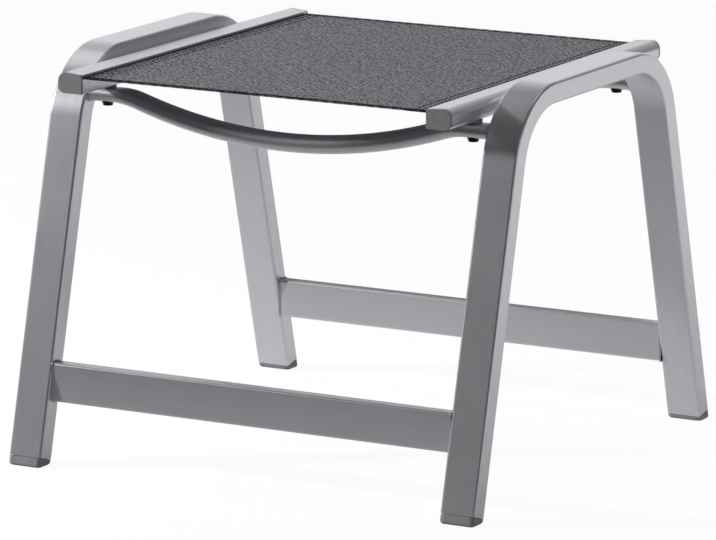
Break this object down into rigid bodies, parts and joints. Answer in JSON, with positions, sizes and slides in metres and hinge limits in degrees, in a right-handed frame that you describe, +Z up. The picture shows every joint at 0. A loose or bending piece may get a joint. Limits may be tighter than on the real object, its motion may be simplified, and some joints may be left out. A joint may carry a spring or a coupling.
{
  "type": "outdoor ottoman footstool",
  "caption": "Low patio footstool: a fabric sling stretched between two rails on a frame of bent flat aluminium tube with splayed legs, stretchers and dipped round seat bars.",
  "frame": {"origin": "on the floor, in the middle of the stool", "axes": "+X to the right, across the sling from rail to rail; -Y to the front; +Z up"},
  "size_m": [0.532, 0.5222, 0.41],
  "materials": {
    "frame_aluminium": "satin",
    "rail_aluminium": "satin",
    "grey_plastic": "matt moulded",
    "black_plastic": "matt",
    "light_plastic": "matt",
    "black_steel": "black oxide",
    "plain_steel": "plain",
    "sling_fabric": "open weave of coated yarn"
  },
  "bodies": {
    "root": {"left_side_frame": "frame_aluminium", "left_seat_rail": "rail_aluminium", "left_keder_rod": "black_plastic", "front_left_rail_cap": "grey_plastic", "front_left_foot": "grey_plastic", "front_left_bolt": "black_steel", "front_left_washer": "black_steel", "front_left_spacer": "light_plastic", "front_left_nut": "plain_steel", "rear_left_rail_cap": "grey_plastic", "rear_left_foot": "grey_plastic", "rear_left_bolt": "black_steel", "rear_left_washer": "black_steel", "rear_left_spacer": "light_plastic", "rear_left_nut": "plain_steel", "right_side_frame": "frame_aluminium", "right_seat_rail": "rail_aluminium", "right_keder_rod": "black_plastic", "front_right_rail_cap": "grey_plastic", "front_right_foot": "grey_plastic", "front_right_bolt": "black_steel", "front_right_washer": "black_steel", "front_right_spacer": "light_plastic", "front_right_nut": "plain_steel", "rear_right_rail_cap": "grey_plastic", "rear_right_foot": "grey_plastic", "rear_right_bolt": "black_steel", "rear_right_washer": "black_steel", "rear_right_spacer": "light_plastic", "rear_right_nut": "plain_steel", "front_stretcher": "frame_aluminium", "front_seat_bar": "frame_aluminium", "rear_stretcher": "frame_aluminium", "rear_seat_bar": "frame_aluminium", "sling": "sling_fabric"}
  },
  "joints": []
}
